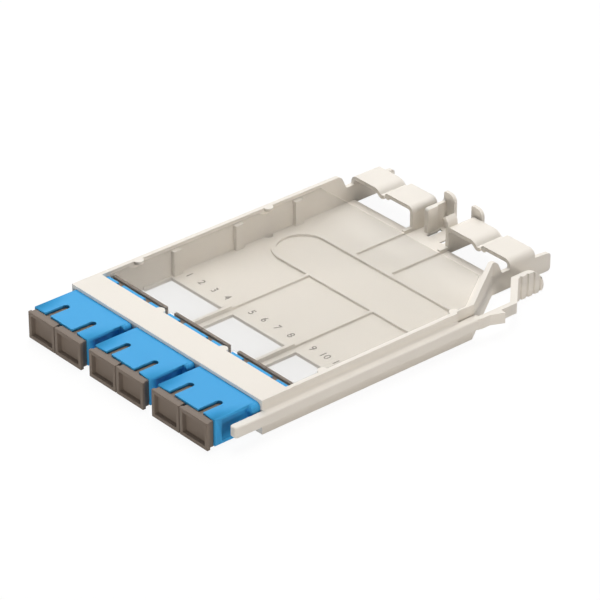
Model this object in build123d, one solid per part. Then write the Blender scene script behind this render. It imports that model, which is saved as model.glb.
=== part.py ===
from build123d import *
import os
from math import hypot

# Fibre patch module: a flat moulded tray that carries three blue four-port adapters in its front
# edge, stores the spliced fibres on its floor under a clear lid, and snaps into a panel with the
# barbed latch arm on its right-hand side. Each adapter is plugged by two dust caps at either end.
# X runs across the tray, Y from the adapters to the rear, Z up. The origin is on the underside,
# below the middle of the middle adapter's seat. All sizes are in millimetres.

# Adapters
adapter_width = 25.9
adapter_height = 9.1
adapter_length = 27.9
adapter_reach = 15.5
adapter_count = 3
adapter_edge = 0.25
cavity_width = 11.4
cavity_height = 7.2
adapter_web = 4.0
port_spacing = 6.25
key_slot_width = 2.4
key_slot_length = 7.9
side_panel_length = 9.6
side_panel_margin = 1.1
side_panel_start = 2.6
side_panel_depth = 0.7
side_panel_slant = 1.2
ear_reach = 1.6
ear_depth = 3.2

# Split sleeves that line up the fibre ends inside the adapters
sleeve_outer = 1.6
sleeve_inner = 1.25
sleeve_length = 6.8
sleeve_slit = 0.25
sleeve_gap = 0.05

# Dust caps
cap_width = 12.55
cap_height = 9.1
cap_drop = 0.55
cap_seam = 0.15
cap_flange = 1.1
cap_stand = 2.7
cap_neck_inset = 0.45
cap_rim = 1.2
cap_recess = 1.5
cap_plug_length = 8.2
cap_plug_gap = 0.1
cap_plug_wall = 0.9
cap_plug_hollow = 6.0
cap_pull_spare = 0.2
cap_edge = 0.25

# Tray
floor = 1.1
wall = 1.5
bar_thickness = 1.05
seat_depth = 10.2
seat_gap = 0.05
side_gap = 0.1
divider = 3.3
cheek = 1.95
seat_shift = -0.25
side_wall_length = 82.2
side_corner_radius = 0.6
notch_width = 15.2
notch_slant_length = 22.3
wall_end_reach = 1.9
tail_reach = 6.7
tail_rise = 0.2
tail_slope = 0.6
tail_rear_radius = 1.2
saddle_height = 6.5
saddle_drop = 2.2
saddle_length = 3.4
saddle_fillet = 0.7
wall_end_radius = 2.6
saddle_radius = 0.9

# Floor windows behind the adapters
window_end = 36.2
window_lead = 1.4
window_inset = 0.75
cap_bay_spare = 0.6
cap_bay_clearance = 0.6

# Ribs on the floor
rib_width = 1.1
rib_height = 0.8
guide_rib_height = 1.5
guide_rib_end = 37.5
ring_width = 1.5
ring_start = 68.4
ring_depth = 19.8
ring_side_margin = 5.5
channel_curb_length = 3.4
channel_curb_height = 1.3

# Lid and what holds it
lid_thickness = 0.5
lid_gap = 0.05
lid_front_gap = 0.9
lid_rear_gap = 8.6
lid_side_gap = 0.1
lid_travel = 2.0
lid_tongue_width = 3.0
lid_tongue_overlap = 1.15
tab_radius = 1.65
tab_notch_gap = 0.15
wall_tabs = (24.3, 76.0)
post_reach = 1.4
post_length = 3.2
left_posts = (37.2, 62.0, 86.3)
right_posts = (38.0, 63.0)

# Cable guides at the rear
guide_depth = 10.5
guide_top = 9.5
guide_thickness = 1.3
guide_span = 29.2
guide_gap = 0.45
guide_bend = 2.3
finger_length = 15.7
finger_dip = 1.6
finger_dip_start = 3.5
finger_dip_end = 1.7
finger_lift = 0.2
finger_bends = (3.4, 0.9)
bead_radius = 1.05
hook_depth = 4.0
hook_thickness = 1.1
hook_rise = 3.3
hook_straight = 1.2
hook_lean = 1.25
hook_bend = 1.9

# Cable channel between the guides
channel_reach = 1.5
screen_offset = 2.6
screen_setback = 2.6
screen_height = 9.6
screen_radius = 1.1
screen_pad_length = 4.3
screen_pad_depth = 0.5
flange_width = 4.8
flange_height = 12.8
flange_thickness = 1.2
flange_radius = 2.6
flange_corner = 0.4
tie_slot_width = 1.3
tie_slot_length = 5.9
tie_slot_setback = 1.7
tie_slot_skin = 0.45
tie_relief_margin = 1.5
tie_slot_offsets = (4.6, 10.8)
cable_saddle_height = 3.1
cable_saddle_depth = 1.4

# Side rail and latch arm
rail_bottom = 4.5
rail_height = 3.6
rail_reach = 2.7
rail_nose = 12.0
rail_nose_gap = 0.2
rail_nose_radius = 0.9
rail_edge = 0.3
rail_root_radius = 0.9
pocket_length = 6.2
pocket_depth = 0.8
pocket_bottom = 7.6
pocket_trough = 0.2
pocket_radius = 1.0
arm_pivot_reach = 1.2
arm_thickness = 1.75
arm_stand = 0.25
arm_pivot_gap = 0.08
barb_setback = 3.2
barb_length = 4.4
barb_reach = 2.0
arm_beam_length = 13.6
arm_bend_thickness = 2.35
pad_offset = 5.75
pad_thickness = 2.0
pad_lead = 4.5
pad_length = 11.4
pad_top_radius = 6.4
pad_bottom_radius = 1.6
groove_count = 4
groove_pitch = 2.72
groove_radius = 0.55
groove_start = 1.8

# Worked-out sizes and places
tray_height = floor + adapter_height + 2 * seat_gap + bar_thickness
pocket_width = adapter_width + 2 * side_gap
tray_width = 2 * cheek + adapter_count * pocket_width + (adapter_count - 1) * divider
half_width = tray_width / 2
adapter_pitch = pocket_width + divider
front = -seat_depth / 2
adapter_front = front - adapter_reach
adapter_middle = adapter_front + adapter_length / 2
adapter_rear = adapter_front + adapter_length
adapter_z = floor + seat_gap + adapter_height / 2
adapter_xs = [seat_shift + (i - (adapter_count - 1) / 2) * adapter_pitch for i in range(adapter_count)]
adapter_join = adapter_middle + adapter_web / 2
divider_xs = [x + adapter_pitch / 2 for x in adapter_xs[:-1]]
cap_z = adapter_z - cap_drop
bar_underside = tray_height - bar_thickness
lid_top = bar_underside
lid_bottom = lid_top - lid_thickness
tab_underside = lid_top + lid_gap
post_top = lid_bottom - lid_gap
notch_x = half_width - notch_width
slant_end = side_wall_length + notch_slant_length
channel_left = -half_width + guide_span
channel_right = notch_x - guide_span
full_wall_length = side_wall_length + notch_slant_length + wall_end_reach
saddle_start = full_wall_length + saddle_drop
guide_start = saddle_start + saddle_length
tail_length = guide_start + guide_depth + tail_reach
channel_rib_end = guide_start - channel_curb_length
channel_floor_end = guide_start + guide_depth + channel_reach
tail_top = saddle_height + tail_rise
screen_start = guide_start + screen_setback
tie_slot_start = guide_start + tie_slot_setback
lid_front = adapter_rear + lid_front_gap
lid_rear = front + full_wall_length - lid_rear_gap
cap_travel = cap_plug_length + cap_pull_spare
cap_bay_end = adapter_rear + cap_stand + cap_travel + cap_bay_spare
arm_pivot = side_wall_length + arm_pivot_reach
barb_start = arm_pivot + barb_setback
barb_end = barb_start + barb_length
arm_turn = arm_pivot + arm_beam_length
pad_start = guide_start - pad_lead
rail_outer = half_width + rail_reach
arm_outer = rail_outer + arm_stand


def at(distance):
    """Return the Y of a point that lies this far behind the tray's front face."""
    return front + distance


def box(x0, x1, y0, y1, z0, z1):
    """Return the block between two corners."""
    block = Box(x1 - x0, y1 - y0, z1 - z0)
    return Pos((x0 + x1) / 2, (y0 + y1) / 2, (z0 + z1) / 2) * block


def slab(points, z0, z1):
    """Return an upright prism on an outline of X, Y points."""
    return Pos(0, 0, z0) * extrude(make_face(Polyline(*points, close=True)), z1 - z0)


def side_profile(points, x0, x1):
    """Return a prism along X on an outline of Y, Z points."""
    outline = make_face(Polyline(*[(0, y, z) for y, z in points], close=True))
    return Pos(x0, 0, 0) * extrude(outline, x1 - x0, dir=(1, 0, 0))


def near(shape, axis, x=None, y=None, z=None, slack=0.02):
    """Return the straight edges along an axis whose middle is at the places given."""
    chosen = ShapeList()
    for edge in shape.edges().filter_by(axis):
        middle = edge.center()
        if x is not None and abs(middle.X - x) > slack:
            continue
        if y is not None and abs(middle.Y - y) > slack:
            continue
        if z is not None and abs(middle.Z - z) > slack:
            continue
        chosen.append(edge)
    return chosen


def strip(points, bends, thickness, depth, y0):
    """Return a bent strip of even thickness, on a middle line of X, Z points, from y0 rearwards."""
    flat = [(x, z) for x, z in points]
    line = FilletPolyline(*flat, radius=bends)
    section = trace(line, thickness)
    return Pos(0, y0, 0) * (Rot(90, 0, 0) * extrude(section, -depth))


def outline_face():
    """Return the tray's plan, with its right rear corner cut away for the latch arm."""
    points = [
        (-half_width, front),
        (half_width, front),
        (half_width, at(side_wall_length)),
        (notch_x, at(slant_end)),
        (notch_x, at(tail_length)),
        (-half_width, at(tail_length)),
    ]
    plan = make_face(Polyline(*points, close=True))
    corners = [v for v in plan.vertices() if abs(v.Y - at(side_wall_length)) < 0.01]
    corners += [v for v in plan.vertices() if abs(v.Y - at(slant_end)) < 0.01]
    return fillet(corners, side_corner_radius)


def rear_cutter():
    """Return what is cut from above the side walls behind their full height."""
    top = tray_height + 1
    step = at(guide_start + guide_depth / 2)
    points = [
        (at(full_wall_length) - 2 * wall_end_radius, top),
        (at(full_wall_length) - 2 * wall_end_radius, tray_height),
        (at(full_wall_length), tray_height),
        (at(saddle_start), saddle_height),
        (step, saddle_height),
        (step, tail_top),
        (at(guide_start + guide_depth), tail_top),
        (at(tail_length), tail_top - tail_slope),
        (at(tail_length) + 1, tail_top - tail_slope),
        (at(tail_length) + 1, top),
    ]
    cutter = side_profile(points, -half_width - 1, half_width + 1)
    cutter = fillet(near(cutter, Axis.X, y=at(full_wall_length), z=tray_height), wall_end_radius)
    return fillet(near(cutter, Axis.X, y=at(saddle_start), z=saddle_height), saddle_radius)


def walls():
    """Return the side walls, the slanted wall and their tails behind the guides."""
    plan = outline_face()
    inside = offset(plan, -wall)
    reach = box(
        -half_width + wall, notch_x - wall, at(guide_start), at(tail_length) + 1, -1, tray_height + 1
    )
    seats = box(
        -half_width + wall, half_width - wall, front - 1, front + 2 * wall, -1, tray_height + 1
    )
    shell = extrude(plan, tray_height) - Pos(0, 0, -1) * extrude(inside, tray_height + 2)
    shell -= [reach, seats]
    shell -= rear_cutter()
    for z in (0, tail_top - tail_slope):
        shell = fillet(near(shell, Axis.X, y=at(tail_length), z=z), tail_rear_radius)
    return shell


def floor_plate():
    """Return the floor: full width to the guides, and only the cable channel beyond them."""
    plate = extrude(outline_face(), floor)
    behind = box(-half_width - 1, notch_x + 1, at(guide_start), at(tail_length) + 1, -1, floor + 1)
    plate -= behind
    plate += box(
        channel_left - guide_thickness,
        channel_right + guide_thickness,
        at(guide_start) - 1,
        at(channel_floor_end),
        0,
        floor,
    )
    return plate


def window_cutters():
    """Return the floor windows: a bay for the rear dust caps that narrows to a neat opening."""
    cutters = []
    for x in adapter_xs:
        half = adapter_width / 2 - window_inset
        start = adapter_rear - window_lead
        cutters.append(box(x - half, x + half, start, at(window_end), -1, floor + 1))
        bay = cap_width + cap_seam / 2 + cap_bay_clearance
        cutters.append(box(x - bay, x + bay, start, cap_bay_end, -1, floor + 1))
    return cutters


def tab_holes():
    """Return the half-round floor holes that the mould needs below the wall tabs."""
    holes = []
    for distance in wall_tabs:
        for side in (-1, 1):
            hole = Cylinder(tab_radius, floor + 2)
            hole &= box(-tab_radius, tab_radius, -tab_radius, tab_radius, -floor, floor + 1)
            place = Pos(side * (half_width - wall), at(distance), floor / 2)
            keep = box(-half_width + wall, half_width - wall, front, at(guide_start), -1, floor + 1)
            holes.append((place * hole) & keep)
    return holes


def seat_block():
    """Return the front bar, its dividers and its cheeks, with a through seat for each adapter."""
    block = box(-half_width, half_width, front, front + seat_depth, 0, tray_height)
    for x in adapter_xs:
        half = pocket_width / 2
        block -= box(x - half, x + half, front - 1, front + seat_depth + 1, floor, bar_underside)
    return block


def tabs():
    """Return the half-round tabs on the bar and on the side walls that hold the lid down."""
    thickness = tray_height - tab_underside
    pieces = []
    for x in divider_xs:
        pieces.append(Pos(x, front + seat_depth, tab_underside + thickness / 2))
    for distance in wall_tabs:
        for side in (-1, 1):
            x = side * (half_width - wall)
            pieces.append(Pos(x, at(distance), tab_underside + thickness / 2))
    inside = box(
        -half_width + wall / 2,
        half_width - wall / 2,
        front + seat_depth / 2,
        at(guide_start),
        0,
        tray_height,
    )
    return [(place * Cylinder(tab_radius, thickness)) & inside for place in pieces]


def lid_posts():
    """Return the upright posts on the walls that the lid lies on."""
    posts = []
    overlap = wall / 2
    for side, places in ((-1, left_posts), (1, right_posts)):
        inner = side * (half_width - wall - post_reach)
        outer = side * (half_width - wall + overlap)
        for distance in places:
            posts.append(
                box(
                    min(inner, outer),
                    max(inner, outer),
                    at(distance),
                    at(distance + post_length),
                    0,
                    post_top,
                )
            )
    return posts


def ring_rib():
    """Return the racetrack rib that the fibre loops are wound around."""
    length = tray_width - 2 * ring_side_margin
    middle = at(ring_start + ring_depth / 2)
    outer = SlotOverall(length, ring_depth)
    inner = SlotOverall(length - 2 * ring_width, ring_depth - 2 * ring_width)
    return Pos(0, middle, floor) * extrude(outer - inner, rib_height)


def floor_ribs():
    """Return the ribs along the floor: fibre guides, the racetrack and the channel sides."""
    ribs = [ring_rib()]
    half = rib_width / 2
    for x in divider_xs:
        start = front + seat_depth
        ribs.append(
            box(x - half, x + half, start, at(guide_rib_end), floor, floor + guide_rib_height)
        )
        ribs.append(box(x - half, x + half, start, at(ring_start + half), floor, floor + rib_height))
    ring_end = ring_start + ring_depth
    for inner, outer in (
        (channel_left, channel_left - guide_thickness),
        (channel_right, channel_right + guide_thickness),
    ):
        x0, x1 = sorted((inner, outer))
        ribs.append(
            box(x0, x1, at(ring_end - half), at(channel_rib_end), floor, floor + rib_height)
        )
        ribs.append(
            box(
                x0,
                x1,
                at(channel_rib_end),
                at(guide_start + guide_depth),
                floor,
                floor + channel_curb_height,
            )
        )
    return ribs


def guide_pair(left):
    """Return two facing fingers on their legs, which the cables are pressed in between."""
    half = guide_thickness / 2
    top = guide_top - half
    tip = left + finger_length
    dip = top - finger_dip
    bend = guide_bend - half
    first = [
        (left + half, 0),
        (left + half, top),
        (tip - finger_dip_start, top),
        (tip - finger_dip_end, dip),
        (tip - half, dip + finger_lift),
    ]
    right = left + guide_span
    nose = tip + guide_gap + bead_radius
    second = [(nose, top), (right - half, top), (right - half, 0)]
    y0 = at(guide_start)
    pair = strip(first, (bend, *finger_bends), guide_thickness, guide_depth, y0)
    pair += strip(second, (bend,), guide_thickness, guide_depth, y0)
    bead = Pos(nose, y0 + guide_depth / 2, guide_top - bead_radius) * (
        Rot(90, 0, 0) * Cylinder(bead_radius, guide_depth)
    )
    tip_end = Pos(tip - half, y0 + guide_depth / 2, dip + finger_lift) * (
        Rot(90, 0, 0) * Cylinder(half, guide_depth)
    )
    return pair + [bead, tip_end]


def saddle_roots():
    """Return the hollow-rounded gussets between the low saddles and the guides' outer legs."""
    radius = saddle_fillet
    y1 = at(guide_start)
    gussets = []
    for x in (-half_width, notch_x - guide_thickness):
        block = box(
            x, x + guide_thickness, y1 - radius, y1 + radius, saddle_height - radius, saddle_height + radius
        )
        round_bar = Pos(x + guide_thickness / 2, y1 - radius, saddle_height + radius) * (
            Rot(0, 90, 0) * Cylinder(radius, guide_thickness + 1)
        )
        gussets.append(block - round_bar)
    return gussets


def hook():
    """Return the curled lip on top of the right-hand leg of the cable channel."""
    x = channel_right + hook_thickness / 2
    line = [
        (x, guide_top - guide_bend),
        (x, guide_top + hook_straight),
        (x - hook_lean, guide_top + hook_rise - hook_thickness / 2),
    ]
    return strip(line, (hook_bend,), hook_thickness, hook_depth, at(guide_start))


def channel_screen():
    """Return the upright screen of the cable channel, its front pad and the flange it ends in."""
    x = channel_left + screen_offset
    y1 = at(channel_floor_end) - flange_thickness / 2
    plate = box(x, x + flange_thickness, at(screen_start), y1, 0, screen_height)
    plate = fillet(near(plate, Axis.X, y=at(screen_start), z=screen_height), screen_radius)
    pad = box(
        x + flange_thickness / 2,
        x + flange_thickness + screen_pad_depth,
        at(screen_start),
        at(screen_start + screen_pad_length),
        0,
        screen_height - screen_radius,
    )
    joined = plate + pad + end_flange(x)
    inner = near(joined, Axis.X, y=at(channel_floor_end) - flange_thickness, z=screen_height)
    return fillet(inner, screen_radius)


def end_flange(x):
    """Return an upright end flange that stops a cable boot from sliding out to the rear."""
    y1 = at(channel_floor_end)
    plate = box(x, x + flange_width, y1 - flange_thickness, y1, 0, flange_height)
    plate = fillet(near(plate, Axis.Y, x=x + flange_width, z=flange_height), flange_radius)
    return chamfer(near(plate, Axis.Y, x=x, z=flange_height), flange_corner)


def channel_sides():
    """Return the low walls of the cable channel behind the guides."""
    y0 = at(guide_start + guide_depth) - guide_thickness
    sides = []
    for x in (channel_left - guide_thickness, channel_right):
        sides.append(box(x, x + guide_thickness, y0, at(channel_floor_end), 0, saddle_height))
    return sides


def cable_saddle():
    """Return the low sill that the incoming cable rests on."""
    y1 = at(channel_floor_end) - flange_thickness
    x0 = channel_left + screen_offset + flange_thickness / 2
    x1 = channel_right + guide_thickness / 2
    sill = box(x0, x1, y1 - cable_saddle_depth, y1, floor / 2, floor + cable_saddle_height)
    return fillet(near(sill, Axis.X, z=floor + cable_saddle_height), cable_saddle_depth / 3)


def tie_slots():
    """Return the channel's two slots for a cable tie, each with a relief on the floor's underside."""
    slots = []
    for shift in tie_slot_offsets:
        x = channel_left + shift
        slots.append(
            box(
                x - tie_relief_margin,
                x + tie_slot_width + tie_relief_margin,
                at(tie_slot_start) - tie_relief_margin,
                at(tie_slot_start + tie_slot_length) + tie_relief_margin,
                -1,
                floor - tie_slot_skin,
            )
        )
        slots.append(
            box(
                x,
                x + tie_slot_width,
                at(tie_slot_start),
                at(tie_slot_start + tie_slot_length),
                -1,
                floor + 1,
            )
        )
    return slots


def rail():
    """Return the side rail with its hollow root on the wall and the nose that reaches forward."""
    top = rail_bottom + rail_height
    body = box(half_width - wall / 2, rail_outer, front, at(arm_pivot), rail_bottom, top)
    body -= box(
        half_width - wall,
        half_width,
        at(side_wall_length) - side_corner_radius,
        at(arm_pivot) + 1,
        0,
        tray_height,
    )
    nose = box(
        half_width - rail_nose_gap,
        rail_outer,
        front - rail_nose,
        front + rail_edge,
        rail_bottom,
        top,
    )
    nose = fillet(near(nose, Axis.Z, y=front - rail_nose), rail_nose_radius)
    joined = body + nose
    joined = chamfer(near(joined, Axis.Y, x=rail_outer), rail_edge)
    return joined + rail_root(top)


def rail_root(top):
    """Return the hollow-rounded strip between the rail's top and the wall."""
    radius = rail_root_radius
    length = side_wall_length - pocket_length
    block = box(
        half_width - wall / 2, half_width + radius, front, at(length), top - radius, top + radius
    )
    round_bar = Pos(half_width + radius, front + length / 2, top + radius) * (
        Rot(90, 0, 0) * Cylinder(radius, length + 2)
    )
    return block - round_bar


def rail_socket():
    """Return the round socket that is cut in the rail's end for the arm's root."""
    radius = arm_thickness / 2 + arm_pivot_gap
    x = arm_outer - arm_thickness / 2
    socket = Pos(x, at(arm_pivot), rail_bottom + rail_height / 2) * Cylinder(radius, 3 * rail_height)
    side = box(x, arm_outer + 1, at(arm_pivot) - radius, at(arm_pivot) + 1, 0, tray_height)
    return socket + side


def wall_pocket():
    """Return the shallow recess in the wall's outer face, over the root of the latch arm."""
    recess = box(
        half_width - pocket_depth,
        half_width + pocket_trough,
        at(side_wall_length - pocket_length),
        at(side_wall_length) + 1,
        pocket_bottom,
        tray_height + 1,
    )
    edges = near(recess, Axis.X, y=at(side_wall_length - pocket_length), z=pocket_bottom)
    return fillet(edges, pocket_radius)


def make_tray():
    """Return the tray: floor, walls, front bar, ribs, cable guides and side rail in one moulding."""
    tray = walls() + floor_plate() + seat_block() + rail()
    tray -= wall_pocket()
    tray -= rail_socket()
    tray += floor_ribs()
    tray += lid_posts()
    tray += tabs()
    tray -= window_cutters()
    tray -= tab_holes()
    tray += guide_pair(-half_width)
    tray += guide_pair(channel_right)
    tray += hook()
    tray += channel_screen()
    tray += channel_sides()
    tray += cable_saddle()
    tray += end_flange(channel_right)
    tray -= tie_slots()
    return tray + saddle_roots()


def make_lid():
    """Return the clear lid, with front tongues and the edge notches that free it from the tabs."""
    plan = outline_face()
    edge = offset(plan, -wall - lid_side_gap)
    body = extrude(edge, lid_thickness)
    body &= box(-half_width, half_width, lid_front, lid_rear, -1, lid_thickness + 1)
    body -= Pos(0, -lid_travel, 0) * slant_clearance()
    for x in divider_xs:
        half = lid_tongue_width / 2
        tip = front + seat_depth + tab_radius - lid_tongue_overlap
        tongue = box(x - half, x + half, tip, lid_front + 1, 0, lid_thickness)
        body += fillet(near(tongue, Axis.Z, y=tip), half / 2)
    for distance in wall_tabs:
        for side in (-1, 1):
            place = Pos(side * (half_width - wall), at(distance) - lid_travel, 0)
            body -= place * Cylinder(tab_radius + tab_notch_gap, 4 * lid_thickness)
    return Pos(0, 0, lid_bottom) * body


def slant_clearance():
    """Return the region behind the slanted wall's inner face that the sliding lid must not enter."""
    gap = wall + lid_side_gap
    run = hypot(notch_width, notch_slant_length)
    shift_x = gap * notch_slant_length / run
    shift_y = gap * notch_width / run
    far = 2 * notch_slant_length
    points = [
        (half_width - shift_x + notch_width, at(side_wall_length - notch_slant_length) - shift_y),
        (notch_x - shift_x, at(slant_end) - shift_y),
        (notch_x - shift_x, at(slant_end) + far),
        (half_width + far, at(slant_end) + far),
    ]
    return slab(points, -1, lid_thickness + 1)


def make_latch_arm():
    """Return the latch arm: barbed beam, slanted link and grooved finger pad."""
    z0 = rail_bottom
    z1 = rail_bottom + rail_height
    outer = arm_outer
    inner = arm_outer - arm_thickness
    pad_outer = notch_x + pad_offset + pad_thickness
    pad_inner = notch_x + pad_offset
    shift = arm_bend_thickness - arm_thickness
    points = [
        (inner, at(arm_pivot)),
        (inner, at(arm_turn) - shift),
        (pad_inner, at(pad_start) - shift),
        (pad_inner, at(pad_start + pad_length) - pad_top_radius),
        (pad_outer, at(pad_start + pad_length) - pad_top_radius),
        (pad_outer, at(pad_start) + shift),
        (outer, at(arm_turn) + shift),
        (outer, at(barb_end) + barb_reach / 8),
        (outer + barb_reach, at(barb_end)),
        (outer, at(barb_start)),
        (outer, at(arm_pivot)),
    ]
    arm = slab(points, z0, z1)
    arm += Pos(outer - arm_thickness / 2, at(arm_pivot), (z0 + z1) / 2) * Cylinder(
        arm_thickness / 2, z1 - z0
    )
    arm += finger_pad(pad_inner, pad_outer, z1)
    for i in range(groove_count):
        y = at(pad_start + groove_start + i * groove_pitch)
        arm -= Pos(pad_outer, y, z1 / 2) * Cylinder(groove_radius, 2 * z1)
    return arm


def finger_pad(x0, x1, top):
    """Return the full-height finger pad, rounded at its rear end."""
    pad = box(x0, x1, at(pad_start), at(pad_start + pad_length), 0, top)
    rear = at(pad_start + pad_length)
    pad = fillet(near(pad, Axis.X, y=rear, z=top), pad_top_radius)
    return fillet(near(pad, Axis.X, y=rear, z=0), pad_bottom_radius)


def pair_xs(x):
    """Return the middles of an adapter's two port pairs."""
    return (x - adapter_width / 4, x + adapter_width / 4)


def port_xs(x):
    """Return the middles of an adapter's four ports."""
    return [pair + side * port_spacing / 2 for pair in pair_xs(x) for side in (-1, 1)]


def along_y(x, y0, y1, radius):
    """Return a round bar along Y at the ports' height."""
    bar = Rot(90, 0, 0) * Cylinder(radius, y1 - y0)
    return Pos(x, (y0 + y1) / 2, adapter_z) * bar


def side_panel(x, side, end):
    """Return the shallow framed recess in an adapter's side, with its slanted inner end."""
    face = adapter_middle + end * adapter_length / 2
    y0 = face - end * side_panel_start
    y1 = y0 - end * side_panel_length
    z0 = adapter_z - adapter_height / 2 + side_panel_margin
    z1 = adapter_z + adapter_height / 2 - side_panel_margin
    points = [(y0, z0), (y1 - end * side_panel_slant, z0), (y1, z1), (y0, z1)]
    edge = x + side * adapter_width / 2
    depth = side * side_panel_depth
    return side_profile(points, min(edge, edge - depth), max(edge, edge - depth))


def make_shell(x, end):
    """Return one half of an adapter's housing: end -1 is the front half, 1 the rear half."""
    face = adapter_middle + end * adapter_length / 2
    low, high = sorted((adapter_join, face))
    z0 = adapter_z - adapter_height / 2
    z1 = adapter_z + adapter_height / 2
    shell = box(x - adapter_width / 2, x + adapter_width / 2, low, high, z0, z1)
    edges = near(shell, Axis.Y, x=x - adapter_width / 2) + near(shell, Axis.Y, x=x + adapter_width / 2)
    shell = chamfer(edges, adapter_edge)
    web = adapter_middle + end * adapter_web / 2
    for pair in pair_xs(x):
        y0, y1 = sorted((web, face + end))
        shell -= box(
            pair - cavity_width / 2,
            pair + cavity_width / 2,
            y0,
            y1,
            adapter_z - cavity_height / 2,
            adapter_z + cavity_height / 2,
        )
        shell -= key_slot(pair, face, end, z1)
    for side in (-1, 1):
        shell -= side_panel(x, side, end)
    if end < 0:
        shell += retaining_ear(x)
        for port in port_xs(x):
            shell -= along_y(port, web, adapter_join, sleeve_outer / 2 + sleeve_gap)
    return shell


def key_slot(pair, face, end, top):
    """Return the round-ended slot in the top wall, open at the adapter's face."""
    stop = face - end * (key_slot_length - key_slot_width / 2)
    y0, y1 = sorted((stop, face + end))
    half = key_slot_width / 2
    z0 = adapter_z
    slot = box(pair - half, pair + half, y0, y1, z0, top + 1)
    return slot + Pos(pair, stop, (z0 + top + 1) / 2) * Cylinder(half, top + 1 - z0)


def retaining_ear(x):
    """Return the round-topped ear that stops the adapter against the tray's front face."""
    x1 = x + adapter_width / 2
    ear = box(
        x1 - side_panel_depth - adapter_edge,
        x1 + ear_reach,
        front - ear_depth,
        front - seat_gap,
        adapter_z - adapter_height / 2,
        adapter_z + adapter_height / 2,
    )
    edges = near(ear, Axis.Y, x=x1 + ear_reach, z=adapter_z + adapter_height / 2)
    return fillet(edges, ear_reach - adapter_edge)


def make_sleeve(port):
    """Return a split sleeve that lines up the tips of two facing connectors."""
    y0 = adapter_middle - sleeve_length / 2
    y1 = adapter_middle + sleeve_length / 2
    sleeve = along_y(port, y0, y1, sleeve_outer / 2) - along_y(port, y0 - 1, y1 + 1, sleeve_inner / 2)
    half = sleeve_slit / 2
    return sleeve - box(port - half, port + half, y0 - 1, y1 + 1, adapter_z, adapter_z + sleeve_outer)


def make_cap(pair, middle, end):
    """Return a dust cap for one port pair: framed flange, neck and hollow plug."""
    inner = adapter_middle + end * adapter_length / 2
    outer = inner + end * cap_stand
    side = 1 if pair > middle else -1
    x = middle + side * (cap_width + cap_seam) / 2
    z0 = cap_z - cap_height / 2
    z1 = cap_z + cap_height / 2
    y0, y1 = sorted((outer - end * cap_flange, outer))
    flange = box(x - cap_width / 2, x + cap_width / 2, y0, y1, z0, z1)
    flange = chamfer(near(flange, Axis.Y), cap_edge)
    half = cap_width / 2 - cap_neck_inset
    y0, y1 = sorted((inner + end * cap_plug_gap, outer - end * cap_flange / 2))
    cap = flange + box(x - half, x + half, y0, y1, z0 + cap_neck_inset, z1)
    plug_half = cavity_width / 2 - cap_plug_gap
    plug_rise = cavity_height / 2 - cap_plug_gap
    tip = inner - end * cap_plug_length
    y0, y1 = sorted((tip, inner + end * cap_plug_gap * 2))
    plug = box(
        pair - plug_half, pair + plug_half, y0, y1, adapter_z - plug_rise, adapter_z + plug_rise
    )
    cap += chamfer(near(plug, Axis.Z, y=tip), cap_edge)
    y0, y1 = sorted((outer - end * cap_recess, outer + end))
    cap -= box(
        x - cap_width / 2 + cap_rim,
        x + cap_width / 2 - cap_rim,
        y0,
        y1,
        z0 + cap_rim,
        z1 - cap_rim,
    )
    hollow = (plug_half - 1.5 * cap_plug_wall) / 2
    for shift in (-1, 1):
        middle_x = pair + shift * (hollow + cap_plug_wall / 2)
        y0, y1 = sorted((tip - end, tip + end * cap_plug_hollow))
        cap -= box(
            middle_x - hollow,
            middle_x + hollow,
            y0,
            y1,
            adapter_z - plug_rise + cap_plug_wall,
            adapter_z + plug_rise - cap_plug_wall,
        )
    return cap


def build_pieces():
    """Return every piece of the module by its node name."""
    pieces = {"tray": make_tray(), "clear_lid": make_lid(), "latch_arm": make_latch_arm()}
    cap_number = 0
    sleeve_number = 0
    for number, x in enumerate(adapter_xs, start=1):
        pieces[f"adapter_{number}_front_shell"] = make_shell(x, -1)
        pieces[f"adapter_{number}_rear_shell"] = make_shell(x, 1)
        for port in port_xs(x):
            sleeve_number += 1
            pieces[f"sleeve_{sleeve_number}"] = make_sleeve(port)
        for pair in pair_xs(x):
            cap_number += 1
            pieces[f"front_cap_{cap_number}"] = make_cap(pair, x, -1)
            pieces[f"rear_cap_{cap_number}"] = make_cap(pair, x, 1)
    return pieces


os.makedirs("parts", exist_ok=True)
for name, piece in build_pieces().items():
    piece.label = name
    export_step(piece, f"parts/{name}.step")
    print(name, round(piece.volume, 2), len(piece.solids()))
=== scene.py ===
"""Dresses the fibre patch module: finishes, dust caps, port numbers, studio and camera."""

import logging
import math
from collections.abc import Callable
from dataclasses import dataclass
from enum import Enum
from typing import Union

import bpy
from mathutils import Euler, Matrix, Vector


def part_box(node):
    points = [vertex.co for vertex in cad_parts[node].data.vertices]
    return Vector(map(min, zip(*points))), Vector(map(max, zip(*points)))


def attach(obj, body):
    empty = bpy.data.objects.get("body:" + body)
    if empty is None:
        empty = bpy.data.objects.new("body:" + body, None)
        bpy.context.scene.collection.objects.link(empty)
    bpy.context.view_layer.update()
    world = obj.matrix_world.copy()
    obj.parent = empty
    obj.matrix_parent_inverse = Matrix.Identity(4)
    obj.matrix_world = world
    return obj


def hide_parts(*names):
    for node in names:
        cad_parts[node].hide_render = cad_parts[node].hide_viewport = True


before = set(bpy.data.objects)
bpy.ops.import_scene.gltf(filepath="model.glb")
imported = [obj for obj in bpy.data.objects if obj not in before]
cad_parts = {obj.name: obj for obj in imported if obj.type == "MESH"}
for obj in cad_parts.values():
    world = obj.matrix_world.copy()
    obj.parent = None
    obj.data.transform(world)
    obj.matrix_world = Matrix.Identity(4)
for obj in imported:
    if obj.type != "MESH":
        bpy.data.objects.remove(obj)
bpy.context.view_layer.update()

log = logging.getLogger("patch_module")

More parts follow.
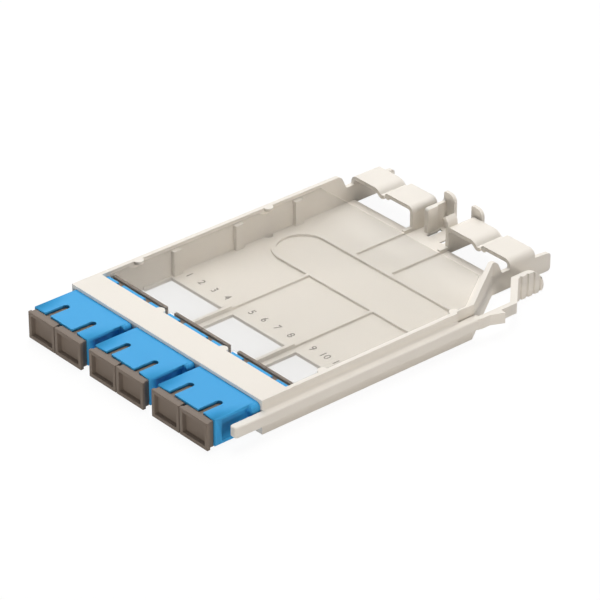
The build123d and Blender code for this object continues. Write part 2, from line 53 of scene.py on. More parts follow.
MM = 0.001
SHARP_ANGLE = math.radians(30)
SMOOTH_ANGLE = math.radians(35)
Triple = tuple[float, float, float]
Colour = Triple
Value = Union["Wire", float, int, tuple]
WHITE: Colour = (1.0, 1.0, 1.0)
NOISE_MIDDLE = 0.5


class Side(Enum):
    """Which of an adapter's two port pairs a piece belongs to, with its sign along X."""

    LEFT = -1
    RIGHT = 1


class End(Enum):
    """Which end of the module a piece or a face looks to, with its sign along Y."""

    FRONT = -1
    REAR = 1


class Kind(Enum):
    """What is picked in edit mode, with the list of a mesh that holds it."""

    VERT = "vertices"
    EDGE = "edges"
    FACE = "polygons"


# Shader wiring


class Wire:
    """One output socket of a shader node that can be used in plain sums."""

    def __init__(self, sheet: "NodeSheet", socket: bpy.types.NodeSocket | None) -> None:
        """Hold a socket and the sheet that it is on.

        Args:
            sheet: The node sheet that new nodes are added to.
            socket: The output socket, or None for a node without outputs.
        """
        self.sheet = sheet
        self.socket = socket

    def _math(self, operation: str, *values: Value) -> "Wire":
        """Add one Math node.

        Args:
            operation: The node's operation.
            values: Its inputs in order, wires or numbers.

        Returns:
            The node's result.
        """
        inputs = dict(enumerate(values))
        return self.sheet.node("ShaderNodeMath", {"operation": operation}, inputs)

    def __add__(self, other: Value) -> "Wire":
        """Return self + other."""
        return self._math("ADD", self, other)

    def __radd__(self, other: Value) -> "Wire":
        """Return other + self."""
        return self._math("ADD", other, self)

    def __sub__(self, other: Value) -> "Wire":
        """Return self - other."""
        return self._math("SUBTRACT", self, other)

    def __rsub__(self, other: Value) -> "Wire":
        """Return other - self."""
        return self._math("SUBTRACT", other, self)

    def __mul__(self, other: Value) -> "Wire":
        """Return self * other."""
        return self._math("MULTIPLY", self, other)

    def __rmul__(self, other: Value) -> "Wire":
        """Return other * self."""
        return self._math("MULTIPLY", other, self)

    def clamped(self) -> "Wire":
        """Return the value kept between 0 and 1."""
        return self._math("MINIMUM", self._math("MAXIMUM", self, 0.0), 1.0)


class NodeSheet:
    """The node tree of one material or of the world."""

    edge_samples: int = 6
    edge_gain: float = 5.0

    def __init__(self, tree: bpy.types.NodeTree) -> None:
        """Empty the tree.

        Args:
            tree: The node tree to fill.
        """
        self.tree = tree
        tree.nodes.clear()

    def node(
        self,
        kind: str,
        settings: dict[str, object] | None = None,
        values: dict[str | int, Value] | None = None,
        outlet: str | int = 0,
    ) -> Wire:
        """Add one node, set it up and wire its inputs.

        Args:
            kind: The node's type.
            settings: Properties that are set first, such as a Math node's operation.
            values: Wires or constants for its inputs, by name or place.
            outlet: The output to return, by name or place.

        Returns:
            The chosen output.
        """
        made = self.tree.nodes.new(kind)
        for name, setting in (settings or {}).items():
            setattr(made, name, setting)
        for place, value in (values or {}).items():
            if isinstance(value, Wire):
                self.tree.links.new(value.socket, made.inputs[place])
            else:
                made.inputs[place].default_value = value
        return Wire(self, made.outputs[outlet] if len(made.outputs) else None)

    def mix_colour(self, factor: Value, first: Value, second: Value) -> Wire:
        """Blend two colours.

        Args:
            factor: 0 gives the first colour and 1 the second.
            first: A colour with alpha, or a wire.
            second: A colour with alpha, or a wire.

        Returns:
            The blended colour.
        """
        return self.node(
            "ShaderNodeMix", {"data_type": "RGBA"}, {0: factor, 6: first, 7: second}, outlet=2
        )

    def noise(self, scale: float, vector: Wire, detail: float, roughness: float = 0.5) -> Wire:
        """Add a noise pattern.

        Args:
            scale: Repeats per metre.
            vector: The coordinates it is drawn on.
            detail: Octaves of finer noise.
            roughness: The weight of the finer octaves.

        Returns:
            The noise value, NOISE_MIDDLE on average.
        """
        return self.node(
            "ShaderNodeTexNoise",
            None,
            {"Vector": vector, "Scale": scale, "Detail": detail, "Roughness": roughness},
        )

    def bump(
        self, strength: float, depth: float, height: Wire, normal: Wire | None = None
    ) -> Wire:
        """Add a fine relief.

        Args:
            strength: How much of it shows, from 0 to 1.
            depth: Its depth in metres.
            height: Its pattern.
            normal: The normal that it is laid on, or None for the surface's own.

        Returns:
            The normal with the relief.
        """
        values = {"Strength": strength, "Distance": depth, "Height": height}
        if normal is not None:
            values["Normal"] = normal
        return self.node("ShaderNodeBump", None, values)

    def object_place(self) -> Wire:
        """Return the object coordinates, in metres."""
        return self.node("ShaderNodeTexCoord", outlet="Object")

    def soft_edges(self, radius: float) -> tuple[Wire, Wire]:
        """Round the shading over sharp edges.

        Args:
            radius: How far from an edge the rounding starts, in metres.

        Returns:
            The rounded normal, and a mask that is 1 on the edges.
        """
        rounded = self.node("ShaderNodeBevel", {"samples": self.edge_samples}, {"Radius": radius})
        flat = self.node("ShaderNodeNewGeometry", outlet="Normal")
        facing = self.node(
            "ShaderNodeVectorMath", {"operation": "DOT_PRODUCT"}, {0: rounded, 1: flat}, "Value"
        )
        return rounded, ((1.0 - facing) * self.edge_gain).clamped()


def rgba(colour: Colour) -> tuple[float, float, float, float]:
    """Return a colour with full alpha."""
    return (*colour, 1.0)


# Finishes


@dataclass(frozen=True)
class Finish:
    """A procedural material that is made once and shared under its name."""

    name: str

    def make(self) -> bpy.types.Material:
        """Find the material, or build it the first time.

        Returns:
            The finished material.
        """
        known = bpy.data.materials.get(self.name)
        if known is not None:
            return known
        material = bpy.data.materials.new(self.name)
        material.use_nodes = True
        sheet = NodeSheet(material.node_tree)
        sheet.node("ShaderNodeOutputMaterial", None, {"Surface": self._shader(sheet)})
        return material

    def _shader(self, sheet: NodeSheet) -> Wire:
        """Wire the finish's shader, which each kind of finish does in its own way.

        Args:
            sheet: The material's node sheet.

        Returns:
            The shader.
        """
        raise NotImplementedError


@dataclass(frozen=True)
class MouldedPlastic(Finish):
    """Moulded plastic with a fine spark-eroded skin, faint flow clouds and edges in a colour of
    their own that is partly wear and partly painted light: a painted highlight where it is
    lighter than the body, a painted shade where it is darker.
    """

    colour: Colour
    flow_colour: Colour
    # Colour mixed in along every edge: partly edge wear, partly painted light (a painted
    # highlight when lighter than the body, a painted shade when darker).
    edge_colour: Colour
    roughness: float = 0.5
    specular: float = 0.35
    grain: float = 0.25 * MM
    grain_depth: float = 0.004 * MM
    grain_strength: float = 0.35
    grain_swing: float = 0.1
    cloud_scale: float = 38.0
    cloud_start: float = 0.35
    cloud_gain: float = 2.2
    cloud_swing: float = 0.08
    edge_radius: float = 0.2 * MM
    # How strongly the edge colour is painted on: partly edge wear, partly painted highlight or
    # shade as set by the edge colour.
    edge_wear: float = 0.5
    rub_scale: float = 900.0
    rub_share: float = 0.6
    rub_polish: float = 0.08

    def _shader(self, sheet: NodeSheet) -> Wire:
        """Wire the plastic.

        Args:
            sheet: The material's node sheet.

        Returns:
            The shader.
        """
        place = sheet.object_place()
        clouds = sheet.noise(self.cloud_scale, place, detail=3.0, roughness=0.55)
        skin = sheet.noise(1.0 / self.grain, place, detail=2.0, roughness=0.6)
        edge_patch_noise = sheet.noise(self.rub_scale, place, detail=2.0)
        normal, edge = sheet.soft_edges(self.edge_radius)
        flow = ((clouds - self.cloud_start) * self.cloud_gain).clamped()
        body = sheet.mix_colour(flow, rgba(self.colour), rgba(self.flow_colour))
        edge_patchiness = edge_patch_noise * self.rub_share + self.rub_share
        # Edge mask in random patches: paints the edge colour along every edge as painted light,
        # partly standing for edge wear.
        edge_light_and_wear_mask = (edge * edge_patchiness * self.edge_wear).clamped()
        grained = self.roughness + (skin - NOISE_MIDDLE) * self.grain_swing
        clouded = grained + (clouds - NOISE_MIDDLE) * self.cloud_swing
        return sheet.node(
            "ShaderNodeBsdfPrincipled",
            None,
            {
                "Base Color": sheet.mix_colour(edge_light_and_wear_mask, body, rgba(self.edge_colour)),
                "Roughness": clouded - edge_light_and_wear_mask * self.rub_polish,
                "Normal": sheet.bump(self.grain_strength, self.grain_depth, skin, normal),
                "Specular IOR Level": self.specular,
            },
        )


@dataclass(frozen=True)
class ClearSheet(Finish):
    """A clear moulded sheet with a slight haze that thickens in faint clouds, and a painted
    highlight that whitens its edges.
    """

    tint: Colour
    haze: float = 0.2
    haze_swing: float = 0.02
    edge_haze: float = 0.25
    edge_radius: float = 0.12 * MM
    roughness: float = 0.85
    rough_swing: float = 0.1
    soft_passage: float = 0.8
    bending: float = 1.15
    cloud_scale: float = 30.0
    scuff_turn: Triple = (0.0, 0.0, 0.6)
    scuff_stretch: Triple = (260.0, 14.0, 14.0)
    scuff_scale: float = 6.0
    scuff_start: float = 0.62
    scuff_gain: float = 5.0
    scuff_haze: float = 0.01
    scuff_depth: float = 0.02 * MM
    scuff_strength: float = 0.08

    def _shader(self, sheet: NodeSheet) -> Wire:
        """Wire the clear sheet.

        Args:
            sheet: The material's node sheet.

        Returns:
            The shader.
        """
        place = sheet.object_place()
        clouds = sheet.noise(self.cloud_scale, place, detail=4.0, roughness=0.6)
        stretched = sheet.node(
            "ShaderNodeMapping",
            None,
            {"Vector": place, "Rotation": self.scuff_turn, "Scale": self.scuff_stretch},
        )
        scuffs = sheet.noise(self.scuff_scale, stretched, detail=2.0)
        fine = ((scuffs - self.scuff_start) * self.scuff_gain).clamped()
        edge = sheet.soft_edges(self.edge_radius)[1]
        swing = clouds - NOISE_MIDDLE
        clouded = self.haze + swing * self.haze_swing
        # The sheet's edges are made more opaque and whiter here: a painted highlight.
        alpha = clouded + fine * self.scuff_haze + edge * self.edge_haze
        rough = self.roughness + swing * self.rough_swing + fine * self.rough_swing
        return sheet.node(
            "ShaderNodeBsdfPrincipled",
            None,
            {
                "Base Color": rgba(self.tint),
                "Roughness": rough,
                "Alpha": alpha.clamped(),
                "Normal": sheet.bump(self.scuff_strength, self.scuff_depth, scuffs),
                "IOR": self.bending,
                "Transmission Weight": self.soft_passage,
            },
        )


@dataclass(frozen=True)
class Ceramic(Finish):
    """Dense white ceramic with a faint fine speckle."""

    colour: Colour
    shade: Colour
    roughness: float = 0.22
    rough_swing: float = 0.1
    speckle_scale: float = 2600.0
    speckle_start: float = 0.45
    speckle_gain: float = 2.0
    speckle_depth: float = 0.002 * MM
    speckle_strength: float = 0.1

    def _shader(self, sheet: NodeSheet) -> Wire:
        """Wire the ceramic.

        Args:
            sheet: The material's node sheet.

        Returns:
            The shader.
        """
        place = sheet.object_place()
        speckle = sheet.noise(self.speckle_scale, place, detail=3.0, roughness=0.6)
        shaded = ((speckle - self.speckle_start) * self.speckle_gain).clamped()
        return sheet.node(
            "ShaderNodeBsdfPrincipled",
            None,
            {
                "Base Color": sheet.mix_colour(shaded, rgba(self.colour), rgba(self.shade)),
                "Roughness": self.roughness + (speckle - NOISE_MIDDLE) * self.rough_swing,
                "Normal": sheet.bump(self.speckle_strength, self.speckle_depth, speckle),
            },
        )


@dataclass(frozen=True)
class Finishes:
    """The finishes that the module's pieces are dressed in."""

    cream: MouldedPlastic = MouldedPlastic(
        name="warm_white_plastic",
        colour=(0.83, 0.787, 0.718),
        flow_colour=(0.808, 0.763, 0.692),
        # Lighter edge colour: a painted highlight along every edge, partly edge wear.
        edge_colour=(0.895, 0.86, 0.8),
        edge_radius=0.08 * MM,
        edge_wear=0.45,
        specular=0.25,
    )
    blue: MouldedPlastic = MouldedPlastic(
        name="blue_plastic",
        colour=(0.053, 0.383, 0.755),
        flow_colour=(0.05, 0.365, 0.735),
        # Lighter edge colour: a painted highlight along every edge, partly edge wear.
        edge_colour=(0.11, 0.46, 0.81),
        edge_radius=0.16 * MM,
        edge_wear=0.35,
        specular=0.14,
    )
    cap: MouldedPlastic = MouldedPlastic(
        name="brown_grey_plastic",
        colour=(0.225, 0.183, 0.15),
        flow_colour=(0.21, 0.171, 0.14),
        # Darker edge colour: painted shade along every rim and crease, partly edge wear.
        edge_colour=(0.2, 0.168, 0.142),
        roughness=0.6,
        edge_radius=0.08 * MM,
        edge_wear=0.4,
        specular=0.2,
    )
    numbers: MouldedPlastic = MouldedPlastic(
        name="number_ink",
        colour=(0.17, 0.158, 0.142),
        flow_colour=(0.2, 0.187, 0.168),
        edge_colour=(0.22, 0.205, 0.185),
        roughness=0.6,
        edge_radius=0.02 * MM,
        edge_wear=0.0,
    )
    clear: ClearSheet = ClearSheet(name="clear_lid_plastic", tint=(0.5, 0.485, 0.46))
    ceramic: Ceramic = Ceramic(
        name="white_ceramic", colour=(0.86, 0.85, 0.82), shade=(0.8, 0.79, 0.75)
    )


# Modelling bench


class Bench:
    """Small steps of modelling by hand, each on one object at a time."""

    straight: float = 0.9
    near: float = 0.01 * MM
    doubled: float = 0.0005 * MM

    @staticmethod
    def clear() -> None:
        """Leave edit mode and deselect everything."""
        if bpy.context.object is not None and bpy.context.object.mode != "OBJECT":
            bpy.ops.object.mode_set(mode="OBJECT")
        bpy.ops.object.select_all(action="DESELECT")

    @classmethod
    def pick(cls, piece: bpy.types.Object) -> None:
        """Select one object and make it the active one.

        Args:
            piece: The object.
        """
        cls.clear()
        piece.select_set(True)
        bpy.context.view_layer.objects.active = piece

    @classmethod
    def block(cls, name: str, low: Vector, high: Vector) -> bpy.types.Object:
        """Add a block between two corners.

        Args:
            name: The piece's name.
            low: Its lowest corner.
            high: Its highest corner.

        Returns:
            The new object, with its place in its mesh.
        """
        cls.clear()
        bpy.ops.mesh.primitive_cube_add(size=1.0, location=(low + high) / 2)
        piece = bpy.context.object
        piece.name = name
        piece.scale = high - low
        bpy.ops.object.transform_apply(location=True, rotation=True, scale=True)
        return piece

    @classmethod
    def edit_where(
        cls, piece: bpy.types.Object, kind: Kind, wanted: Callable[[bpy.types.bpy_struct], bool]
    ) -> None:
        """Enter edit mode with only the elements selected that pass a test.

        Args:
            piece: The object.
            kind: The kind of element.
            wanted: The test, which is given one element of the mesh.
        """
        cls.pick(piece)
        bpy.ops.object.mode_set(mode="EDIT")
        bpy.ops.mesh.select_mode(type=kind.name)
        bpy.ops.mesh.select_all(action="DESELECT")
        bpy.ops.object.mode_set(mode="OBJECT")
        for element in getattr(piece.data, kind.value):
            element.select = wanted(element)
        bpy.ops.object.mode_set(mode="EDIT")

    @classmethod
    def edit_faces(cls, piece: bpy.types.Object, end: End, place: float) -> None:
        """Enter edit mode with only the faces selected that look to one end at one place.

        Args:
            piece: The object.
            end: The end that the faces look to.
            place: Where their middles are along the module, in metres.
        """

        def wanted(face: bpy.types.MeshPolygon) -> bool:
            """Tell whether a face is one of them."""
            looks_there = face.normal.y * end.value > cls.straight
            return looks_there and abs(face.center.y - place) < cls.near

        cls.edit_where(piece, Kind.FACE, wanted)

    @staticmethod
    def grow(shift: Triple) -> None:
        """Extrude the selected faces and move them."""
        bpy.ops.mesh.extrude_region_move(TRANSFORM_OT_translate={"value": shift})

    @staticmethod
    def shift(step: Triple) -> None:
        """Move the selection."""
        bpy.ops.transform.translate(value=step)

    @staticmethod
    def resize(size: Triple, middle: Triple) -> None:
        """Scale the selection about a point."""
        bpy.ops.transform.resize(value=size, center_override=middle)

    @classmethod
    def round_edges(cls, piece: bpy.types.Object, width: float, steps: int = 2) -> None:
        """Bevel every sharp edge and smooth the shading.

        Args:
            piece: The object.
            width: The bevel's width in metres.
            steps: The number of its segments.
        """
        cls.pick(piece)
        bevel = piece.modifiers.new("rounding", "BEVEL")
        bevel.width = width
        bevel.segments = steps
        bevel.limit_method = "ANGLE"
        bevel.angle_limit = SHARP_ANGLE
        bpy.ops.object.modifier_apply(modifier=bevel.name)
        bpy.ops.object.shade_smooth_by_angle(angle=SMOOTH_ANGLE)

    @classmethod
    def faces_outward(cls, piece: bpy.types.Object) -> None:
        """Turn all faces of a closed mesh outwards.

        Args:
            piece: The object.
        """
        cls.pick(piece)
        bpy.ops.object.mode_set(mode="EDIT")
        bpy.ops.mesh.select_all(action="SELECT")
        bpy.ops.mesh.normals_make_consistent(inside=False)
        bpy.ops.object.mode_set(mode="OBJECT")

    @classmethod
    def merge(cls, piece: bpy.types.Object) -> None:
        """Merge the doubled corners of a mesh of loose facets.

        Args:
            piece: The object.
        """
        cls.pick(piece)
        bpy.ops.object.mode_set(mode="EDIT")
        bpy.ops.mesh.select_all(action="SELECT")
        bpy.ops.mesh.remove_doubles(threshold=cls.doubled)
        bpy.ops.object.mode_set(mode="OBJECT")

    @classmethod
    def cut(cls, piece: bpy.types.Object, cutter: bpy.types.Object) -> None:
        """Cut one object out of another and remove the cutter.

        Args:
            piece: The object that stays.
            cutter: The object that is cut away.
        """
        cls.pick(piece)
        change = piece.modifiers.new("cut", "BOOLEAN")
        change.operation = "DIFFERENCE"
        change.solver = "EXACT"
        change.object = cutter
        bpy.ops.object.modifier_apply(modifier=change.name)
        bpy.data.objects.remove(cutter, do_unlink=True)

    @classmethod
    def copy(cls, piece: bpy.types.Object, name: str, change: Matrix) -> bpy.types.Object:
        """Copy a finished piece with its own mesh.

        Args:
            piece: The piece to copy.
            name: The copy's name.
            change: Where the copy goes, put into its mesh.

        Returns:
            The copy.
        """
        twin = piece.copy()
        twin.data = piece.data.copy()
        twin.name = name
        bpy.context.scene.collection.objects.link(twin)
        twin.data.transform(change)
        if change.determinant() < 0:
            cls.faces_outward(twin)
        return twin

    @staticmethod
    def paint(piece: bpy.types.Object, finish: Finish) -> None:
        """Put one finish on the whole piece."""
        piece.data.materials.clear()
        piece.data.materials.append(finish.make())

    @classmethod
    def complete(cls, piece: bpy.types.Object, rounding: float, finish: Finish) -> None:
        """Round a shaped piece's edges, turn its faces outwards and paint it.

        Args:
            piece: The object.
            rounding: The width of its rounded edges, in metres.
            finish: Its finish.
        """
        cls.round_edges(piece, rounding)
        cls.faces_outward(piece)
        cls.paint(piece, finish)


# The module's pieces


@dataclass
class CarriedPieces:
    """Pieces whose solids are right as they are and only get a finish."""

    finishes: Finishes

    def dress(self) -> None:
        """Put the finishes on the tray, the latch arm, the lid, the adapters and the sleeves."""
        starts = {
            "tray": self.finishes.cream,
            "latch_arm": self.finishes.cream,
            "clear_lid": self.finishes.clear,
            "adapter_": self.finishes.blue,
            "sleeve_": self.finishes.ceramic,
        }
        for name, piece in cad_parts.items():
            for start, finish in starts.items():
                if name.startswith(start):
                    Bench.paint(piece, finish)
                    log.info("dressed %s", name)


@dataclass
class FrontShells:
    """The adapters' front shells, with ears that end above the rail's underside."""

    finish: MouldedPlastic
    count: int = 3
    ear_end: float = 4.7 * MM
    ear_reach: float = 1.6 * MM
    ear_depth: float = 3.3 * MM
    seat_front: float = -5.1 * MM
    skin: float = 0.01 * MM
    overcut: float = 1.0 * MM

    def _shell(self, node: str, name: str) -> bpy.types.Object:
        """Copy one shell, merge its facets and cut its ear's lower end away.

        Args:
            node: The shell's node.
            name: The new piece's name.

        Returns:
            The finished shell.
        """
        low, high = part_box(node)
        shell = Bench.copy(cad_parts[node], name, Matrix.Identity(4))
        Bench.merge(shell)
        side = high.x - self.ear_reach + self.skin
        first = Vector((side, self.seat_front - self.ear_depth, low.z - self.overcut))
        last = Vector((high.x + self.overcut, self.seat_front + self.overcut, self.ear_end))
        Bench.cut(shell, Bench.block("ear_cutter", first, last))
        Bench.pick(shell)
        bpy.ops.object.shade_smooth_by_angle(angle=SMOOTH_ANGLE)
        return shell

    def build(self) -> None:
        """Make the front shells and let each stand for its solid."""
        for number in range(1, self.count + 1):
            node = f"adapter_{number}_front_shell"
            shell = self._shell(node, f"front_shell_{number}")
            Bench.paint(shell, self.finish)
            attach(shell, "tray_body")
            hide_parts(node)
            log.info("built %s", shell.name)


@dataclass
class LatchRoot:
    """The short flexing web that joins the latch arm to the rail's end in one moulding."""

    finish: MouldedPlastic
    reach: float = 0.62 * MM
    lap: float = 0.7 * MM
    skin: float = 0.012 * MM
    rail_top: float = 8.1 * MM
    rail_bottom: float = 4.5 * MM
    rail_outer: float = 47.1 * MM
    arm_outer: float = 47.35 * MM
    arm_thickness: float = 1.75 * MM
    pivot: float = 78.3 * MM
    rounding: float = 0.12 * MM

    def build(self) -> None:
        """Shape the web around the arm's round root."""
        inner = self.arm_outer - self.arm_thickness - self.skin
        outer = self.rail_outer + self.skin
        front = self.pivot - self.arm_thickness / 2 - self.reach
        low = Vector((inner, front, self.rail_bottom - self.skin))
        high = Vector((outer, self.pivot + self.lap, self.rail_top + self.skin))
        web = Bench.block("latch_root", low, high)

        def at_the_arm(corner: bpy.types.MeshVertex) -> bool:
            """Tell whether a corner is at the web's outer rear edge."""
            return corner.co.y > high.y - self.skin and corner.co.x > inner + self.skin

        Bench.edit_where(web, Kind.VERT, at_the_arm)
        Bench.shift((self.arm_outer - self.rail_outer, 0.0, 0.0))
        bpy.ops.object.mode_set(mode="OBJECT")
        Bench.complete(web, self.rounding, self.finish)
        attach(web, "tray_body")
        log.info("built %s", web.name)


@dataclass
class ScreenPad:
    """The thickened front half of the screen in the middle rear channel."""

    finish: MouldedPlastic
    face: float = -11.4 * MM
    depth: float = 0.52 * MM
    front: float = 109.5 * MM
    length: float = 4.3 * MM
    top: float = 9.6 * MM
    lap: float = 0.2 * MM
    skin: float = 0.01 * MM
    corner: float = 1.1 * MM
    corner_steps: int = 8
    rounding: float = 0.12 * MM

    def build(self) -> None:
        """Shape the pad with its rounded front corner."""
        low = Vector((self.face - self.lap, self.front - self.skin, self.skin))
        high = Vector((self.face + self.depth, self.front + self.length, self.top + self.skin))
        pad = Bench.block("screen_pad", low, high)

        def at_the_corner(edge: bpy.types.MeshEdge) -> bool:
            """Tell whether an edge is the pad's upper front one."""
            ends = [pad.data.vertices[index].co for index in edge.vertices]
            return all(end.y < low.y + self.skin and end.z > high.z - self.skin for end in ends)

        Bench.edit_where(pad, Kind.EDGE, at_the_corner)
        bpy.ops.mesh.bevel(offset=self.corner, segments=self.corner_steps)
        bpy.ops.object.mode_set(mode="OBJECT")
        Bench.complete(pad, self.rounding, self.finish)
        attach(pad, "tray_body")
        log.info("built %s", pad.name)


@dataclass
class DustCaps:
    """The dust caps: a framed flange, a neck and a hollow double plug for each port pair."""

    finish: MouldedPlastic
    count: int = 6
    flange: float = 1.1 * MM
    rim: float = 1.2 * MM
    recess: float = 1.5 * MM
    draft: float = 0.985
    neck_inset: float = 0.45 * MM
    neck_top_step: float = 0.08 * MM
    rear_neck_step: float = 0.75 * MM
    neck_end: float = 2.6 * MM
    plug_side: float = 0.675 * MM
    plug_low: float = 1.6 * MM
    plug_high: float = 0.5 * MM
    plug_drop: float = 0.25 * MM
    plug_lead: float = 0.3 * MM
    plug_lead_share: float = 0.93
    plug_shift: float = 0.125 * MM
    hollow_wall: float = 0.495 * MM
    hollow_depth: float = 6.0 * MM
    rounding: float = 0.08 * MM
    seam_spare: float = 0.12 * MM

    def _flange(self, name: str, low: Vector, high: Vector) -> bpy.types.Object:
        """Model the flange with its framed recess.

        Args:
            name: The new object's name.
            low: The cap's lowest corner.
            high: The cap's highest corner.

        Returns:
            The flange.
        """
        corner = Vector((high.x - self.seam_spare, low.y + self.flange, high.z))
        cap = Bench.block(name, low, corner)
        Bench.edit_faces(cap, End.FRONT, low.y)
        bpy.ops.mesh.inset(thickness=self.rim, depth=0.0)
        Bench.grow((0.0, self.recess, 0.0))
        middle = (low + high) / 2
        Bench.resize((self.draft, 1.0, self.draft), (middle.x, low.y, middle.z))
        bpy.ops.object.mode_set(mode="OBJECT")
        return cap

    def _neck_and_plug(
        self, cap: bpy.types.Object, low: Vector, high: Vector, step: float
    ) -> None:
        """Grow the neck and the plug out of the flange's back.

        Args:
            cap: The flange.
            low: The cap's lowest corner.
            high: The cap's highest corner.
            step: How far the neck's top lies below the flange's.
        """
        width = high.x - low.x
        height = high.z - low.z
        middle = (low + high) / 2
        back = low.y + self.flange
        seam_shift = self.seam_spare / 2
        Bench.edit_faces(cap, End.REAR, back)
        Bench.grow((0.0, 0.0, 0.0))
        neck_width = width - 2 * self.neck_inset
        neck_height = height - self.neck_inset - step
        neck_z = low.z + self.neck_inset + neck_height / 2
        neck_size = (neck_width / (width - self.seam_spare), 1.0, neck_height / height)
        Bench.resize(neck_size, (middle.x - seam_shift, middle.y, middle.z))
        Bench.shift((seam_shift, 0.0, neck_z - middle.z))
        Bench.grow((0.0, self.neck_end - self.flange, 0.0))
        Bench.grow((0.0, 0.0, 0.0))
        plug_width = width - 2 * self.plug_side
        plug_height = height - self.plug_low - max(self.plug_high, step + self.plug_drop)
        plug_z = low.z + self.plug_low + plug_height / 2
        plug_size = (plug_width / neck_width, 1.0, plug_height / neck_height)
        Bench.resize(plug_size, (middle.x, back, neck_z))
        Bench.shift((-self.plug_shift, 0.0, plug_z - neck_z))
        run = high.y - low.y - self.neck_end - self.plug_lead
        Bench.grow((0.0, run, 0.0))
        Bench.grow((0.0, self.plug_lead, 0.0))
        share = self.plug_lead_share
        Bench.resize((share, 1.0, share), (middle.x - self.plug_shift, high.y, plug_z))
        bpy.ops.object.mode_set(mode="OBJECT")

    def _hollows(self, cap: bpy.types.Object, low: Vector, high: Vector) -> None:
        """Sink the two hollows into the plug's end.

        Args:
            cap: The cap.
            low: The cap's lowest corner.
            high: The cap's highest corner.
        """
        Bench.edit_faces(cap, End.REAR, high.y)
        middle = (low.x + high.x) / 2 - self.plug_shift
        bpy.ops.mesh.bisect(plane_co=(middle, 0.0, 0.0), plane_no=(1.0, 0.0, 0.0))
        bpy.ops.object.mode_set(mode="OBJECT")
        Bench.edit_faces(cap, End.REAR, high.y)
        bpy.ops.mesh.inset(thickness=self.hollow_wall, use_individual=True)
        Bench.grow((0.0, -self.hollow_depth, 0.0))
        bpy.ops.object.mode_set(mode="OBJECT")

    def _pattern(self, end: End) -> bpy.types.Object:
        """Model the cap that one end's caps are copied from, at the first front cap's place.

        Args:
            end: The end that it is for.

        Returns:
            The finished pattern.
        """
        low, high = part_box("front_cap_1")
        step = self.neck_top_step if end is End.FRONT else self.rear_neck_step
        cap = self._flange(f"{end.name.lower()}_cap_pattern", low, high)
        self._neck_and_plug(cap, low, high, step)
        self._hollows(cap, low, high)
        Bench.complete(cap, self.rounding, self.finish)
        return cap

    def build(self) -> None:
        """Model one cap for each end and copy it to every place, where it replaces the solid."""
        here = sum(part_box("front_cap_1"), Vector()) / 2
        for end in End:
            pattern = self._pattern(end)
            for number in range(1, self.count + 1):
                node = f"{end.name.lower()}_cap_{number}"
                side = Side.LEFT if number % 2 else Side.RIGHT
                there = sum(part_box(node), Vector()) / 2
                flip = Matrix.Diagonal((-side.value, -end.value, 1.0, 1.0))
                change = Matrix.Translation(there) @ flip @ Matrix.Translation(-here)
                cap = Bench.copy(pattern, f"{end.name.lower()}_dust_cap_{number}", change)
                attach(cap, f"{node}_body")
                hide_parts(node)
                log.info("built %s", cap.name)
            bpy.data.objects.remove(pattern, do_unlink=True)


@dataclass
class PortNumbers:
    """The numbers 1 to 12 on the tray's floor, one behind each port."""

    finish: MouldedPlastic
    places_in_mm: tuple[float, ...] = (
        -39.5, -33.5, -27.3, -21.2, -9.4, -3.6, 2.4, 8.6, 18.7, 24.3, 30.1, 36.0,
    )
    row: float = 36.2 * MM
    floor: float = 1.1 * MM
    height: float = 2.6 * MM
    relief: float = 0.05 * MM
    boldness: float = 0.028 * MM
    digit_share: float = 0.7

    def _digit(self, text: str) -> bpy.types.Object:
        """Write one number as a mesh around the origin.

        Args:
            text: The number.

        Returns:
            The number's object.
        """
        Bench.clear()
        bpy.ops.object.text_add(location=(0.0, 0.0, 0.0))
        number = bpy.context.object
        number.data.body = text
        number.data.size = self.height / self.digit_share
        number.data.extrude = self.relief
        number.data.offset = self.boldness
        number.data.align_x = "CENTER"
        number.data.align_y = "CENTER"
        bpy.ops.object.convert(target="MESH")
        return bpy.context.object

    def build(self) -> None:
        """Write all the numbers and join them into one piece."""
        digits = []
        for count, place in enumerate(self.places_in_mm, start=1):
            digit = self._digit(str(count))
            digit.data.transform(Matrix.Translation((place * MM, self.row, self.floor)))
            Bench.paint(digit, self.finish)
            digits.append(digit)
        Bench.clear()
        for digit in digits:
            digit.select_set(True)
        bpy.context.view_layer.objects.active = digits[0]
        bpy.ops.object.join()
        numbers = bpy.context.object
        numbers.name = "port_numbers"
        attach(numbers, "tray_body")
        log.info("built %s", numbers.name)


# Studio


@dataclass(frozen=True)
class Lamp:
    """One soft square lamp: its place and side in metres and its power in watts."""

    name: str
    place: Triple
    side: float
    power: float
    colour: Colour


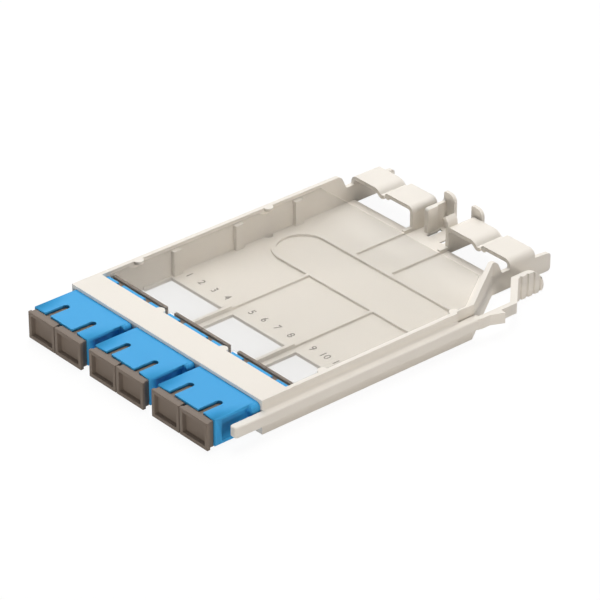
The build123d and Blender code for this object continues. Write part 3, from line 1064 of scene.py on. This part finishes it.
@dataclass
class Studio:
    """A plain pale floor, soft light and the camera."""

    camera_place_in_mm: Triple = (742.3, -588.3, 572.0)
    camera_target_in_mm: Triple = (-0.525, 47.727, 5.0)
    camera_roll: float = -0.067
    lens: float = 224.3
    sensor: float = 36.0
    nearest: float = 0.05
    furthest: float = 30.0
    floor_size: float = 6.0
    floor_colour: Colour = (0.66, 0.655, 0.65)
    floor_lift: float = 0.88
    floor_glow: float = 1.06
    sky: Colour = (0.075, 0.082, 0.095)
    lamp_target: Triple = (0.0, 0.045, 0.0)
    lamps: tuple[Lamp, ...] = (
        Lamp("top_lamp", (-0.12, 0.2, 1.45), 0.9, 15.2, (1.0, 0.985, 0.97)),
        Lamp("left_lamp", (-0.8, 0.6, 1.05), 0.9, 8.2, (1.0, 0.99, 0.975)),
        Lamp("right_lamp", (1.5, 0.42, 0.3), 0.4, 6.3, (1.0, 0.94, 0.88)),
        Lamp("front_lamp", (0.5, -1.4, 0.014), 0.024, 6.9, (1.0, 0.94, 0.87)),
    )

    def _camera(self) -> None:
        """Stand the camera where the photograph was taken from."""
        data = bpy.data.cameras.new("camera")
        data.lens = self.lens
        data.sensor_width = self.sensor
        data.clip_start = self.nearest
        data.clip_end = self.furthest
        camera = bpy.data.objects.new("camera", data)
        bpy.context.scene.collection.objects.link(camera)
        place = Vector(self.camera_place_in_mm) * MM
        aim = Vector(self.camera_target_in_mm) * MM - place
        look = aim.to_track_quat("-Z", "Y")
        roll = Euler((0.0, 0.0, math.radians(self.camera_roll))).to_quaternion()
        camera.location = place
        camera.rotation_mode = "QUATERNION"
        camera.rotation_quaternion = look @ roll
        bpy.context.scene.camera = camera

    def _hang(self, lamp: Lamp) -> None:
        """Hang one lamp and point it at the module.

        Args:
            lamp: The lamp.
        """
        data = bpy.data.lights.new(lamp.name, "AREA")
        data.shape = "SQUARE"
        data.size = lamp.side
        data.energy = lamp.power
        data.color = lamp.colour
        hung = bpy.data.objects.new(lamp.name, data)
        bpy.context.scene.collection.objects.link(hung)
        place = Vector(lamp.place)
        hung.location = place
        aim = Vector(self.lamp_target) - place
        hung.rotation_euler = aim.to_track_quat("-Z", "Y").to_euler()

    @staticmethod
    def _seen_rays(sheet: NodeSheet) -> Wire:
        """Tell the rays that show the background from those that light the module.

        Args:
            sheet: The node sheet.

        Returns:
            1 for rays from the camera, mirror rays and rays through clear pieces, else 0.
        """
        seen = sheet.node("ShaderNodeLightPath", outlet="Is Camera Ray")
        for name in ("Is Glossy Ray", "Is Transmission Ray"):
            seen = seen + sheet.node("ShaderNodeLightPath", outlet=name)
        return seen.clamped()

    def _floor(self) -> None:
        """Lay the floor, lifted towards white where the camera sees it."""
        Bench.clear()
        bpy.ops.mesh.primitive_plane_add(size=self.floor_size, location=(0.0, 0.0, 0.0))
        floor = bpy.context.object
        floor.name = "studio_floor"
        material = bpy.data.materials.new("pale_floor")
        material.use_nodes = True
        sheet = NodeSheet(material.node_tree)
        lit = sheet.node("ShaderNodeBsdfDiffuse", None, {"Color": rgba(self.floor_colour)})
        glow = {"Color": rgba(WHITE), "Strength": self.floor_glow}
        white = sheet.node("ShaderNodeEmission", None, glow)
        seen = self._seen_rays(sheet) * self.floor_lift
        both = sheet.node("ShaderNodeMixShader", None, {0: seen, 1: lit, 2: white})
        sheet.node("ShaderNodeOutputMaterial", None, {"Surface": both})
        floor.data.materials.append(material)

    def _world(self) -> None:
        """Light the studio softly from all round, white where it is seen."""
        world = bpy.data.worlds.new("studio")
        world.use_nodes = True
        bpy.context.scene.world = world
        sheet = NodeSheet(world.node_tree)
        soft = sheet.node("ShaderNodeBackground", None, {"Color": rgba(self.sky)})
        white = sheet.node("ShaderNodeBackground", None, {"Color": rgba(WHITE)})
        seen = self._seen_rays(sheet)
        both = sheet.node("ShaderNodeMixShader", None, {0: seen, 1: soft, 2: white})
        sheet.node("ShaderNodeOutputWorld", None, {"Surface": both})

    def build(self) -> None:
        """Set up the camera, the floor and the light."""
        self._camera()
        self._floor()
        self._world()
        for lamp in self.lamps:
            self._hang(lamp)
        bpy.context.scene.view_settings.view_transform = "Standard"
        log.info("built the studio")


def main() -> None:
    """Build every sub-assembly in order."""
    logging.basicConfig(level=logging.INFO, format="%(message)s")
    finishes = Finishes()
    Studio().build()
    CarriedPieces(finishes).dress()
    FrontShells(finishes.blue).build()
    LatchRoot(finishes.cream).build()
    ScreenPad(finishes.cream).build()
    DustCaps(finishes.cap).build()
    PortNumbers(finishes.numbers).build()


if __name__ == "__main__":
    main()
